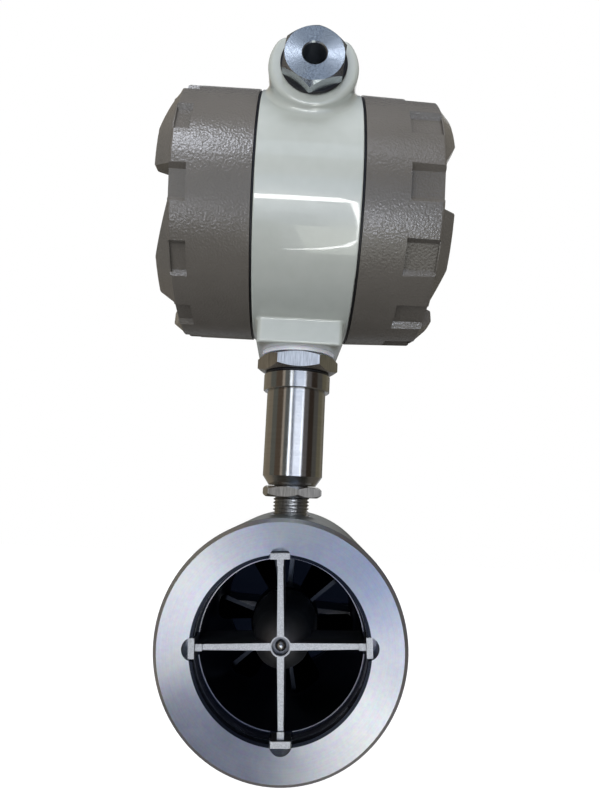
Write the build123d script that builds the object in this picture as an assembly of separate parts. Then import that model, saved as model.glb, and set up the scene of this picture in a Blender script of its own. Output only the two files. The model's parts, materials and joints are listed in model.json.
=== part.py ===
from build123d import *
from math import acos, atan, cos, degrees, radians, sin, sqrt, tan
import os

# Wafer turbine flow sensor. The stainless meter body is clamped between two pipe
# flanges. A cast guide at each end straightens the flow and carries the rotor's
# bearing. A coil above the rotor counts its blades, and its neck carries a painted
# two-chamber head with two screwed covers and two cable entries.
#
# The origin is where the flow axis and the neck axis cross. +Z runs up the neck,
# the flow runs along +Y from inlet to outlet, and the covers face -X and +X.
# All sizes are millimetres, and all angles are degrees.

# Clearances
thread_fit = 0.05        # radial gap of screwed pieces that stay put
slip_fit = 0.10          # radial gap of pieces that are slid in
run_fit = 0.05           # radial gap of the shaft in its bearing
run_gap = 0.3            # gap between pieces that move past each other

# Meter body
body_length = 99.0
body_d = 90.0
body_chamfer = 1.5
flow_d = 60.0            # the bore that the rotor turns in
mouth_step = 1.0         # the wider mouth at each end, beyond the bore's wall
mouth_depth = 8.5
notch_r = 4.0
notch_rise = 3.7         # from the mouth's wall out to the notch's outer wall
notch_depth = 9.0
well_wall = 3.0          # metal left between the pickup's well and the bore
spot_face_depth = 1.0
spot_face_d = 21.0

# Snap ring that locks the guide's feet
ring_depth = 3.8         # from the end face to the ring's middle
ring_width = 1.2
ring_height = 1.3
ring_opening = 14.0

# Flow guide
guide_turn = 3.0         # the vanes stand this far off the neck's line
guide_front = 3.3        # from the end face to the vanes' front edges
vane_count = 4
vane_length = 20.5
vane_root_t = 2.5
vane_tip_t = 1.9
nose_r = 3.7
nose_length = 14.5
hub_front_r = 10.8
hub_rear_r = 13.6
foot_front = 1.0
foot_width = 7.0
foot_t = 2.2
foot_gap = 2.2           # free space over the foot, in the notch
foot_block_width = 2.4
foot_block_length = 2.1
foot_block_front = 2.5

# Domed screw in the guide's nose
dome_r = 2.1
dome_pocket_r = 3.1
dome_pocket_depth = 2.4
dome_shank_r = 1.5
dome_shank_length = 9.0

# Rotor
blade_count = 6
rotor_turn = 52.0        # angle of the first blade's middle above +X
rotor_hub_d = 28.6
rotor_hub_length = 12.6
rotor_hub_chamfer = 0.7
blade_axial = 11.6
blade_t = 1.3
blade_corner_r = 3.0     # rounding of the blade's tip at both edges
blade_tip_gap = 0.6
blade_tip_angle = 45.0   # from the flow axis, at the tip
shaft_d = 4.0
shaft_end = 7.8          # shaft beyond the hub on each side
shaft_chamfer = 0.4
bearing_d = 9.0
bearing_length = 6.0
bearing_flange_d = 12.0
bearing_flange_t = 0.6

# Pickup and its lock nut
pickup_d = 16.0
pickup_wall = 2.2
pickup_floor = 1.5
pickup_show = 7.0        # thread that shows between body and nut
pickup_entry = 10.0      # thread inside the neck tube
pickup_chamfer = 0.8
nut_af = 24.0
nut_height = 4.8
nut_face_d = 23.0
nut_bevel = 30.0
nut_turn = 13.5
nut_gap = 0.3
core_d = 3.0
coil_length = 12.0
magnet_d = 7.0
magnet_length = 8.0

# Neck tube
tube_d = 26.6
tube_length = 50.1
tube_bore_d = 22.6
tube_cone_height = 4.1
tube_cone_end_d = 21.0
collar_d = 30.2
collar_height = 7.7
collar_chamfer = 0.4
undercut_width = 0.6     # groove under the collar
undercut_depth = 0.4

# Neck ring, adapter and gasket
neck_ring_t = 1.1
neck_ring_d = 29.0
adapter_af = 32.0
adapter_hex_height = 7.5
adapter_face_d = 30.8
adapter_bevel = 30.0
adapter_spigot_d = 22.0
adapter_spigot_length = 10.0
adapter_top_d = 27.0
adapter_top_length = 13.0
adapter_bore_d = 14.0
gasket_d = 33.0
gasket_t = 1.8

# Head casting
head_turn = 2.4          # the head is screwed on this far off square
head_drop = 64.2         # from the cover axis down to the foot of the block
chamber_d = 92.0         # bore of both chambers
spigot_wall = 5.0        # wall between a chamber and the cover's thread
spigot_length = 14.0
drum_step = 5.5          # from the spigot out to the painted drum
drum_half = 21.15
drum_edge_r = 0.6
partition_x = -11.0
partition_t = 3.5
block_width = 37.5
block_depth = 40.0
block_edge_r = 2.0
block_fillet_r = 1.5
entry_rise = 42.0        # from the cover axis up to the cable entries
boss_d = 36.8
boss_top = 12.5          # flat top of the boss, above the entry's axis
boss_corner_r = 5.0
boss_reach = 54.5        # from the neck axis to the boss's face
boss_edge_r = 2.2
boss_fillet_r = 2.6
entry_d = 20.0
entry_depth = 27.5
passage_d = 14.0
wire_hole_d = 6.0        # between the two chambers
wire_hole_inset = 8.0

# Covers
seam = 1.0               # gap in which the cover's seal shows
seal_t = 0.6
seal_inset = 0.6         # the seal lies this far under the painted surface
left_cover_length = 32.1
right_cover_length = 31.7
left_cover_draft = 0.0   # the skirt's lean towards the rim
right_cover_draft = 1.7
cover_plate_t = 4.5
cover_edge_r = 1.2
pocket_count = 12
pocket_width = 15.6
pocket_floor_width = 10.8
pocket_depth = 2.5
left_pocket_length = 7.0
right_pocket_length = 13.8
lobe_count = 6
left_lobe_height = 6.6
right_lobe_height = 5.4
left_lobe_span = 45.0
right_lobe_span = 40.0
left_lobe_ramp = 22.0    # part of the span over which the lobe rises
right_lobe_ramp = 12.0
lobe_end_draft = 8.0     # lean of the steep end, which a bar pushes to unscrew
lobe_rim_inset = 1.2
lobe_slope = 5.0         # how far the lobe's outer edge leans in
lobe_width = 12.5
lobe_inner_slope = 2.5
lobe_edge_r = 1.0
left_cover_turn = 12.0   # first pocket below the front, each cover as screwed home
right_cover_turn = 6.5

# Cable gland and blanking plug
gland_af = 24.0
gland_hex_t = 5.0
gland_face_d = 23.7
gland_bevel = 42.0
gland_turn = -6.0
gland_spigot_length = 14.0
gland_bore_d = 9.5
gland_bore_chamfer = 0.45
entry_seal_d = 27.0
entry_seal_t = 1.5
washer_t = 1.2
washer_bore_d = 10.4
bush_length = 10.5
bush_bore_d = 8.4
plug_hex_t = 5.0

# Electronics
board_d = 82.0
board_t = 1.6
board_stand_off = 9.0
stand_off_af = 5.5
board_screw_ring_d = 70.0
board_screw_d = 3.0
board_screw_head_d = 5.6
board_screw_head_t = 2.0
board_screw_grip = 5.0
cross_length = 3.4       # cross recess of the board screws
cross_width = 0.8
cross_depth = 0.8
relay_height = 11.0
relay_width = 13.0
relay_length = 19.0
relay_y = -16.0
chip_height = 2.4
chip_side = 10.0
chip_drop = 12.0
can_d = 8.0
can_height = 11.0
can_drop = 22.0
can_pitch = 10.0
link_height = 9.0
link_width = 6.0
link_length = 20.0
link_y = 24.0
terminal_ways = 6
terminal_pitch = 7.6
terminal_height = 15.0
terminal_depth = 13.0
terminal_drop = 6.0
terminal_flange = 7.0
terminal_screw_d = 4.6
terminal_screw_head_t = 2.6
terminal_screw_depth = 4.0
wire_slot_height = 4.0
screw_slot = 0.16        # slot's width as a share of the head
earth_screw_d = 4.0
earth_screw_head_d = 8.0
earth_screw_head_t = 3.0
earth_washer_d = 11.0
earth_washer_t = 1.0

# Places that follow from the sizes
body_r = body_d / 2
half_length = body_length / 2
flow_r = flow_d / 2
mouth_r = flow_r + mouth_step
notch_reach = mouth_r + notch_rise
notch_centre = notch_reach - notch_r
guide_rear = half_length - rotor_hub_length / 2 - bearing_flange_t - run_gap
foot_outer_r = notch_reach - foot_gap
foot_inner_r = foot_outer_r - foot_t
ring_outer_r = mouth_r + ring_height - slip_fit
pickup_base_z = flow_r + well_wall + run_gap
nut_base_z = body_r + pickup_show
tube_base_z = nut_base_z + nut_height + nut_gap
tube_top_z = tube_base_z + tube_length
pickup_top_z = tube_base_z + pickup_entry
hex_base_z = tube_top_z + neck_ring_t
gasket_base_z = hex_base_z + adapter_hex_height
block_base_z = gasket_base_z + gasket_t
head_z = block_base_z + head_drop
spigot_r = chamber_d / 2 + spigot_wall
drum_r = spigot_r + drum_step
cover_start = drum_half + seam
partition_left = partition_x - partition_t / 2
partition_right = partition_x + partition_t / 2
spigot_end = drum_half + spigot_length


def along_x(radius, start, end):
    """Cylinder about the head's cover axis, from one X to another."""
    return Pos((start + end) / 2, 0, 0) * Rot(0, 90, 0) * Cylinder(radius, abs(end - start))


def along_y(radius, start, end):
    """Cylinder about the Y axis, from one Y to another."""
    return Pos(0, (start + end) / 2, 0) * Rot(90, 0, 0) * Cylinder(radius, abs(end - start))


def along_z(radius, start, end):
    """Cylinder about the Z axis, from one Z to another."""
    return Pos(0, 0, (start + end) / 2) * Cylinder(radius, abs(end - start))


def ring_z(outer_r, inner_r, start, end):
    """Flat ring about the Z axis."""
    return along_z(outer_r, start, end) - along_z(inner_r, start, end)


def bevelled_hexagon(across_flats, height, face_d, bevel_angle, both_ends=True):
    """Hexagon bar on Z from 0 to height, with its corners turned off at an angle."""
    corner_r = across_flats / sqrt(3)
    bevel = (corner_r - face_d / 2) * tan(radians(bevel_angle))
    points = [(0, 0), (corner_r, 0), (corner_r, height - bevel), (face_d / 2, height), (0, height)]
    if both_ends:
        points[1:2] = [(face_d / 2, 0), (corner_r, bevel)]
    turned = revolve(Plane.XZ * make_face(Polyline(*points, close=True)), Axis.Z)
    prism = extrude(RegularPolygon(corner_r, 6), height)
    return prism & turned


def in_head(piece):
    """A piece drawn about the cover axis, brought to the head as it is screwed on."""
    return Rot(0, 0, head_turn) * Pos(0, 0, head_z) * piece


def at_outlet(piece):
    """The inlet's piece, turned round to the outlet."""
    return Rot(0, 0, 180) * piece


def around_flow(piece, count, first=0.0):
    """Copies of a piece round the flow axis."""
    return [Rot(0, first + 360 * number / count, 0) * piece for number in range(count)]


# The meter body and what is fixed in its bore

def make_meter_body():
    body = along_y(body_r, -half_length, half_length)
    body = chamfer(body.edges().filter_by(GeomType.CIRCLE), body_chamfer)
    body -= along_y(flow_r, -half_length, half_length)
    mouth = along_y(mouth_r, -half_length, mouth_depth - half_length)
    groove_half = ring_width / 2 + slip_fit
    groove_y = ring_depth - half_length
    groove = along_y(ring_outer_r + slip_fit, groove_y - groove_half, groove_y + groove_half)
    notch = Pos(0, 0, notch_centre) * along_y(notch_r, -half_length, notch_depth - half_length)
    notches = around_flow(notch, vane_count, -guide_turn)
    for cut in [mouth, groove, *notches]:
        body -= cut
        body -= at_outlet(cut)
    body -= along_z(pickup_d / 2 + thread_fit, flow_r + well_wall, body_r)
    body -= along_z(spot_face_d / 2, body_r - spot_face_depth, body_r)
    return body


def make_snap_ring():
    section = Rectangle(ring_height, ring_width)
    section = Pos(ring_outer_r - ring_height / 2, ring_depth - half_length) * section
    ring = revolve(section, Axis.Y, revolution_arc=360 - ring_opening)
    return Rot(0, 45 - ring_opening / 2, 0) * ring


def make_guide_hub():
    front = guide_front - half_length
    shoulder = front + nose_length
    rear = guide_rear - half_length
    nose = TangentArc((hub_front_r, shoulder), (nose_r, front), tangent=(0, -1))
    outline = Polyline((nose_r, front), (0, front), (0, rear), (hub_rear_r, rear), (hub_front_r, shoulder))
    hub = revolve(make_face([nose, outline]), Axis.Y)
    hub -= along_y(dome_pocket_r, front, front + dome_pocket_depth)
    shank_end = front + dome_pocket_depth + dome_shank_length
    hub -= along_y(dome_shank_r + thread_fit, front, shank_end)
    hub -= along_y(bearing_d / 2 + slip_fit, rear - bearing_length, rear)
    shaft_reach = -rotor_hub_length / 2 - shaft_end
    hub -= along_y(shaft_d / 2 + run_gap, shaft_reach - run_gap, rear)
    return hub


def make_vane():
    """One vane with its foot, on the +Z side of the hub."""
    front = guide_front - half_length
    tip_r = flow_r - slip_fit
    root = vane_root_t / 2
    tip = vane_tip_t / 2
    outline = Polyline((-root, dome_pocket_r), (root, dome_pocket_r), (tip, tip_r), (-tip, tip_r), close=True)
    vane = extrude(Plane.XZ * make_face(outline), -vane_length)
    vane = Pos(0, front, 0) * vane
    foot_y = foot_front - half_length
    foot_length = notch_depth - foot_front
    foot = Pos(0, foot_y + foot_length / 2, foot_inner_r + foot_t / 2) * Box(foot_width, foot_length, foot_t)
    slot_half = ring_width / 2 + slip_fit
    slot_y = ring_depth - half_length
    slot = along_y(foot_outer_r + 1.0, slot_y - slot_half, slot_y + slot_half)
    slot -= along_y(ring_outer_r - ring_height - slip_fit, slot_y - slot_half, slot_y + slot_half)
    block_base = tip_r - foot_block_length
    block_height = foot_inner_r - block_base
    block_y = foot_block_front - half_length
    block_depth_y = notch_depth - foot_block_front
    block = Box(foot_block_width, block_depth_y, block_height)
    block = Pos(0, block_y + block_depth_y / 2, block_base + block_height / 2) * block
    return vane + block + (foot - slot)


def make_guide():
    guide = make_guide_hub()
    for vane in around_flow(make_vane(), vane_count, -guide_turn):
        guide += vane
    pocket = along_y(dome_pocket_r, guide_front - half_length, guide_front + dome_pocket_depth - half_length)
    return guide - pocket


def make_dome_screw():
    floor = guide_front + dome_pocket_depth - half_length
    head = Pos(0, floor, 0) * Sphere(dome_r)
    head &= along_y(dome_r, floor - dome_r, floor)
    return head + along_y(dome_shank_r, floor, floor + dome_shank_length)


def make_bearing():
    rear = guide_rear - half_length
    bush = along_y(bearing_d / 2, rear - bearing_length, rear)
    bush += along_y(bearing_flange_d / 2, rear, rear + bearing_flange_t)
    return bush - along_y(shaft_d / 2 + run_fit, rear - bearing_length, rear + bearing_flange_t)


# The rotor

def blade_section(radius):
    """Blade section at one radius: a helix leans less near the hub."""
    tip_r = flow_r - blade_tip_gap
    lean = degrees(acos(1 / sqrt(1 + (tan(radians(blade_tip_angle)) * radius / tip_r) ** 2)))
    chord = 1.4 * blade_axial / cos(radians(lean))
    plane = Plane(origin=(radius, 0, 0), x_dir=(0, 1, 0), z_dir=(1, 0, 0))
    return plane * Rot(0, 0, lean) * Rectangle(chord, blade_t)


def make_rotor():
    tip_r = flow_r - blade_tip_gap
    hub_r = rotor_hub_d / 2
    hub = along_y(hub_r, -rotor_hub_length / 2, rotor_hub_length / 2)
    hub = chamfer(hub.edges().filter_by(GeomType.CIRCLE), rotor_hub_chamfer)
    inner_r = hub_r - 1.5
    outer_r = tip_r + 1.0
    blade = loft([blade_section(inner_r), blade_section((inner_r + outer_r) / 2), blade_section(outer_r)])
    envelope = along_y(tip_r, -blade_axial / 2, blade_axial / 2)
    blade &= fillet(envelope.edges().filter_by(GeomType.CIRCLE), blade_corner_r)
    rotor = hub
    for copy in around_flow(blade, blade_count, -rotor_turn):
        rotor += copy
    return rotor - along_y(shaft_d / 2, -rotor_hub_length / 2, rotor_hub_length / 2)


def make_shaft():
    reach = rotor_hub_length / 2 + shaft_end
    shaft = along_y(shaft_d / 2, -reach, reach)
    return chamfer(shaft.edges().filter_by(GeomType.CIRCLE), shaft_chamfer)


# The pickup and the neck

def make_pickup_housing():
    shell = along_z(pickup_d / 2, pickup_base_z, pickup_top_z)
    shell = chamfer(shell.edges().filter_by(GeomType.CIRCLE), pickup_chamfer)
    bore_r = pickup_d / 2 - pickup_wall
    return shell - along_z(bore_r, pickup_base_z + pickup_floor, pickup_top_z)


def make_pickup_inside():
    """Pole pin, coil and magnet, stacked on the floor of the pickup's bore."""
    floor_z = pickup_base_z + pickup_floor
    coil_r = pickup_d / 2 - pickup_wall - slip_fit
    core = along_z(core_d / 2, floor_z, floor_z + coil_length)
    coil = ring_z(coil_r, core_d / 2 + slip_fit, floor_z, floor_z + coil_length)
    magnet_base = floor_z + coil_length
    magnet = along_z(magnet_d / 2, magnet_base, magnet_base + magnet_length)
    return core, coil, magnet


def make_lock_nut():
    nut = bevelled_hexagon(nut_af, nut_height, nut_face_d, nut_bevel)
    nut -= along_z(pickup_d / 2 + thread_fit, 0, nut_height)
    return Pos(0, 0, nut_base_z) * Rot(0, 0, nut_turn - 90) * nut


def make_neck_tube():
    cone_top = tube_base_z + tube_cone_height
    tube_r = tube_d / 2
    collar_r = collar_d / 2
    collar_z = tube_top_z - collar_height
    groove_z = collar_z - undercut_width
    groove_r = tube_r - undercut_depth
    outline = [
        (0, tube_base_z), (tube_cone_end_d / 2, tube_base_z), (tube_r, cone_top),
        (tube_r, groove_z), (groove_r, groove_z), (groove_r, collar_z),
        (collar_r - collar_chamfer, collar_z), (collar_r, collar_z + collar_chamfer),
        (collar_r, tube_top_z - collar_chamfer), (collar_r - collar_chamfer, tube_top_z), (0, tube_top_z),
    ]
    tube = revolve(Plane.XZ * make_face(Polyline(*outline, close=True)), Axis.Z)
    tube -= along_z(pickup_d / 2 + thread_fit, tube_base_z, pickup_top_z)
    return tube - along_z(tube_bore_d / 2, pickup_top_z, tube_top_z)


def make_neck_ring():
    inner = tube_bore_d / 2 + thread_fit
    ring = ring_z(neck_ring_d / 2, inner, tube_top_z, hex_base_z)
    outer_edges = ring.edges().filter_by(GeomType.CIRCLE).sort_by(SortBy.RADIUS)[-2:]
    return fillet(outer_edges, neck_ring_t * 0.45)


def make_adapter():
    adapter = Pos(0, 0, hex_base_z) * Rot(0, 0, head_turn) * bevelled_hexagon(
        adapter_af, adapter_hex_height, adapter_face_d, adapter_bevel)
    adapter += along_z(adapter_spigot_d / 2, hex_base_z - adapter_spigot_length, hex_base_z)
    adapter += along_z(adapter_top_d / 2, gasket_base_z, gasket_base_z + adapter_top_length)
    low_end = hex_base_z - adapter_spigot_length
    return adapter - along_z(adapter_bore_d / 2, low_end, gasket_base_z + adapter_top_length)


def make_gasket():
    return ring_z(gasket_d / 2, adapter_top_d / 2 + thread_fit, gasket_base_z, block_base_z)


# The head

def make_boss_section():
    """Outline of the boss that carries the cable entries: a circle with a flat top."""
    below_top = Pos(0, boss_top - boss_d / 2) * Rectangle(boss_d, boss_d)
    section = Circle(boss_d / 2) & below_top
    return fillet(section.vertices().group_by(Axis.Y)[-1], boss_corner_r)


def make_head_body():
    drum = along_x(drum_r, -drum_half, drum_half)
    drum = fillet(drum.edges().filter_by(GeomType.CIRCLE), drum_edge_r)
    boss = Pos(0, boss_reach, entry_rise) * extrude(Plane.XZ * make_boss_section(), 2 * boss_reach)
    boss_ends = boss.edges().group_by(Axis.Y)
    boss = fillet(boss_ends[0] + boss_ends[-1], boss_edge_r)
    casting = drum + boss
    casting = fillet(new_edges(drum, boss, combined=casting), boss_fillet_r)
    block = Box(block_width, block_depth, head_drop)
    block = fillet(block.edges().filter_by(Axis.Z), block_edge_r)
    block = fillet(block.faces().sort_by(Axis.Z)[0].edges(), block_edge_r / 2)
    block = Pos(0, 0, -head_drop / 2) * block
    with_block = casting + block
    casting = fillet(new_edges(casting, block, combined=with_block), block_fillet_r)
    casting += along_x(spigot_r, -spigot_end, spigot_end)
    casting -= along_x(chamber_d / 2, -spigot_end, partition_left)
    casting -= along_x(chamber_d / 2, partition_right, spigot_end)
    socket_top = adapter_top_length - gasket_t + run_gap - head_drop
    casting -= along_z(adapter_top_d / 2 + thread_fit, -head_drop, socket_top)
    casting -= along_z(adapter_bore_d / 2, -head_drop, partition_t - chamber_d / 2)
    for side in (-1, 1):
        entry = along_y(entry_d / 2 + thread_fit, side * (boss_reach - entry_depth), side * boss_reach)
        passage = along_y(passage_d / 2, 0, side * boss_reach)
        casting -= Pos(0, 0, entry_rise) * (entry + passage)
    wire_hole_y = chamber_d / 2 - wire_hole_inset
    casting -= Pos(0, wire_hole_y, 0) * along_x(wire_hole_d / 2, partition_left, partition_right)
    return in_head(casting)


def make_cover_seal():
    inner_r = spigot_r + run_gap
    start = drum_half + (seam - seal_t) / 2
    return along_x(drum_r - seal_inset, start, start + seal_t) - along_x(inner_r, start, start + seal_t)


def make_pocket(rim_x, rim_r, length):
    """Cutter for one pocket at the front of the rim, open towards the end face."""
    floor_y = rim_r - pocket_depth
    top_y = drum_r + 1.0
    lean = (pocket_width - pocket_floor_width) / 2 / pocket_depth
    half_floor = pocket_floor_width / 2
    half_top = half_floor + lean * (top_y - floor_y)
    points = [(-floor_y, -half_floor), (-floor_y, half_floor), (-top_y, half_top), (-top_y, -half_top)]
    section = Plane.YZ * make_face(Polyline(*points, close=True))
    return Pos(rim_x - length, 0, 0) * extrude(section, length + 1.0)


def make_lobe(rim_x, plate_r, rise, span, ramp):
    """One raised lobe on the end face: a ramp, a crest and a steep end.

    It starts with its steep end on the +Y side and runs round the cover axis.
    """
    outer_r = plate_r - lobe_rim_inset
    inner_r = outer_r - lobe_width
    root_x = rim_x - 0.5
    top_x = rim_x + rise
    outline = Polyline(
        (root_x, inner_r), (root_x, outer_r), (rim_x, outer_r), (top_x, outer_r - lobe_slope),
        (top_x, inner_r + lobe_inner_slope), close=True)
    lobe = revolve(make_face(outline), Axis.X, revolution_arc=span)
    ramp_lean = degrees(atan(rise / (outer_r * radians(ramp))))
    block = Box(plate_r, 2 * plate_r, 2 * plate_r)
    above_ramp = Pos(rim_x, 0, 0) * Rot(0, -ramp_lean, 0) * Pos(plate_r / 2, 0, 0) * block
    past_end = Pos(rim_x, 0, 0) * Rot(0, -lobe_end_draft, 0) * Pos(0, 0, -plate_r) * block
    lobe = lobe - Rot(span, 0, 0) * above_ramp - past_end
    return fillet(lobe.faces().sort_by(Axis.X)[-1].edges(), lobe_edge_r)


def make_cover(length, draft, pocket_length, lobe_height, lobe_span, lobe_ramp, turn):
    """Cover of the +X side: skirt, end plate, grip pockets and lobes."""
    rim_x = cover_start + length
    rim_r = drum_r - length * tan(radians(draft))
    outline = Polyline((cover_start, 0), (cover_start, drum_r), (rim_x, rim_r), (rim_x, 0), close=True)
    cover = revolve(make_face(outline), Axis.X)
    rim_edges = cover.edges().filter_by(GeomType.CIRCLE).sort_by(Axis.X)[-1:]
    cover = fillet(rim_edges, cover_edge_r)
    pocket = make_pocket(rim_x, rim_r, pocket_length)
    for number in range(pocket_count):
        cover -= Rot(turn + 360 * number / pocket_count, 0, 0) * pocket
    lobe = make_lobe(rim_x, rim_r, lobe_height, lobe_span, lobe_ramp)
    for number in range(lobe_count):
        cover += Rot(turn + 360 * (number + 0.5) / lobe_count - 180 - lobe_span / 2, 0, 0) * lobe
    inside_r = spigot_r + run_gap
    return cover - along_x(inside_r, cover_start, rim_x - cover_plate_t)


# The cable entries

def make_gland():
    """Gland screw on the front entry: hexagon, thread and cable bore."""
    hexagon = bevelled_hexagon(gland_af, gland_hex_t, gland_face_d, gland_bevel, both_ends=False)
    gland = hexagon + along_z(entry_d / 2, -entry_seal_t - gland_spigot_length, 0)
    base = -entry_seal_t - gland_spigot_length
    gland -= along_z(gland_bore_d / 2, base, gland_hex_t)
    mouth = [edge for edge in gland.edges().filter_by(GeomType.CIRCLE)
             if abs(edge.radius - gland_bore_d / 2) < 0.01 and edge.center().Z > gland_hex_t - 0.01]
    gland = chamfer(mouth, gland_bore_chamfer)
    return entry_place(-1) * Rot(0, 0, 30 + gland_turn) * gland


def make_plug():
    """Blanking plug in the rear entry."""
    plug = bevelled_hexagon(gland_af, plug_hex_t, gland_face_d, gland_bevel, both_ends=False)
    plug += along_z(entry_d / 2, -entry_seal_t - gland_spigot_length, 0)
    return entry_place(1) * Rot(0, 0, 30) * plug


def entry_place(side):
    """Place on the seal's outer face of an entry, with +Z pointing out of the head."""
    return Pos(0, side * (boss_reach + entry_seal_t), entry_rise) * Rot(-90 * side, 0, 0)


def make_entry_seal(side):
    ring = ring_z(entry_seal_d / 2, entry_d / 2 + thread_fit, -entry_seal_t, 0)
    outer_edges = ring.edges().filter_by(GeomType.CIRCLE).sort_by(SortBy.RADIUS)[-2:]
    ring = fillet(outer_edges, entry_seal_t * 0.4)
    return entry_place(side) * ring


def make_gland_washer():
    base = -entry_seal_t - gland_spigot_length
    ring = ring_z(entry_d / 2 - slip_fit, washer_bore_d / 2, base - washer_t, base)
    return entry_place(-1) * ring


def make_gland_bush():
    base = -entry_seal_t - gland_spigot_length - washer_t
    bush = ring_z(entry_d / 2 - slip_fit, bush_bore_d / 2, base - bush_length, base)
    return entry_place(-1) * bush


# The electronics, drawn about the cover axis

def around_board(piece):
    """Three copies of a piece on the board's screw circle."""
    reach = board_screw_ring_d / 2
    angles = [radians(angle) for angle in (90, 210, 330)]
    return [Pos(0, reach * cos(angle), reach * sin(angle)) * piece for angle in angles]


def make_signal_board():
    near = partition_left - board_stand_off
    board = along_x(board_d / 2, near - board_t, near)
    for hole in around_board(along_x(board_screw_d / 2 + slip_fit, near - board_t, near)):
        board -= hole
    return board


def make_board_parts():
    """Relay, two chips, a plug strip and two capacitors that stand on the board."""
    face = partition_left - board_stand_off - board_t
    relay = Pos(face - relay_height / 2, relay_y, 0) * Box(relay_height, relay_width, relay_length)
    chip = Pos(face - chip_height / 2, chip_side, 0) * Box(chip_height, chip_side, chip_side)
    chips = [Pos(0, 0, side * chip_drop) * chip for side in (-1, 1)]
    strip = Pos(face - link_height / 2, link_y, 0) * Box(link_height, link_width, link_length)
    can = Pos(0, 0, -can_drop) * along_x(can_d / 2, face - can_height, face)
    cans = [Pos(0, side * can_pitch / 2, 0) * can for side in (-1, 1)]
    return [relay, *chips, strip, *cans]


def make_stand_offs():
    post = extrude(RegularPolygon(stand_off_af / sqrt(3), 6), board_stand_off)
    post -= along_z(board_screw_d / 2, board_stand_off - board_screw_grip, board_stand_off)
    post = Pos(partition_left, 0, 0) * Rot(0, -90, 0) * post
    return around_board(post)


def make_board_screws():
    face = partition_left - board_stand_off - board_t
    head = along_x(board_screw_head_d / 2, face - board_screw_head_t, face)
    head = fillet(head.edges().filter_by(GeomType.CIRCLE).sort_by(Axis.X)[:1], 0.8)
    recess = Box(2 * cross_depth, cross_length, cross_width)
    recess += Box(2 * cross_depth, cross_width, cross_length)
    head -= Pos(face - board_screw_head_t, 0, 0) * recess
    grip = board_t + board_screw_grip - run_gap
    return around_board(head + along_x(board_screw_d / 2, face, face + grip))


def terminal_places():
    """Y of each terminal's middle."""
    return [terminal_pitch * (number - (terminal_ways - 1) / 2) for number in range(terminal_ways)]


def flange_places():
    """Y of the two fixing screws of the terminal block."""
    reach = terminal_pitch * terminal_ways / 2 + terminal_flange / 2
    return (-reach, reach)


def make_terminal_block():
    length = terminal_pitch * terminal_ways
    back = partition_right
    block = Pos(back + terminal_depth / 2, 0, -terminal_drop) * Box(terminal_depth, length, terminal_height)
    flange_t = terminal_depth / 3
    flange_length = length + 2 * terminal_flange
    block += Pos(back + flange_t / 2, 0, -terminal_drop) * Box(flange_t, flange_length, terminal_height * 0.6)
    front = back + terminal_depth
    screw_well = along_x(terminal_screw_d / 2 + slip_fit, front - terminal_screw_depth, front)
    wire_slot = Box(wire_slot_height, terminal_pitch * 0.6, wire_slot_height)
    for y in terminal_places():
        block -= Pos(0, y, -terminal_drop) * screw_well
        block -= Pos(back + terminal_depth / 2, y, -terminal_drop - terminal_height / 2) * wire_slot
    for y in flange_places():
        block -= Pos(0, y, -terminal_drop) * along_x(board_screw_d / 2 + slip_fit, back, back + flange_t)
    return block


def slotted_screw(head_d, head_t, shank_d, shank_length, seat):
    """Screw along X with its head on the +X side of its seat."""
    screw = along_x(head_d / 2, seat, seat + head_t) + along_x(shank_d / 2, seat - shank_length, seat)
    return screw - Pos(seat + head_t, 0, 0) * Box(head_t, head_d + 1, head_d * screw_slot)


def make_terminal_screws():
    seat = partition_right + terminal_depth - terminal_screw_depth + slip_fit
    screw = slotted_screw(terminal_screw_d, terminal_screw_head_t, terminal_screw_d, slip_fit, seat)
    return [Pos(0, y, -terminal_drop) * screw for y in terminal_places()]


def make_terminal_fixings():
    seat = partition_right + terminal_depth / 3
    screw = slotted_screw(board_screw_head_d, board_screw_head_t, board_screw_d, terminal_depth / 3, seat)
    return [Pos(0, y, -terminal_drop) * screw for y in flange_places()]


def make_earth_screw():
    """Earth screw and its washer on the partition, below the terminals."""
    washer_top = partition_right + earth_washer_t
    drop = terminal_drop + terminal_height / 2 + earth_washer_d
    screw = slotted_screw(earth_screw_head_d, earth_screw_head_t, earth_screw_d, earth_washer_t, washer_top)
    washer = along_x(earth_washer_d / 2, partition_right, washer_top)
    washer -= along_x(earth_screw_d / 2 + slip_fit, partition_right, washer_top)
    return [Pos(0, 0, -drop) * screw, Pos(0, 0, -drop) * washer]


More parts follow.
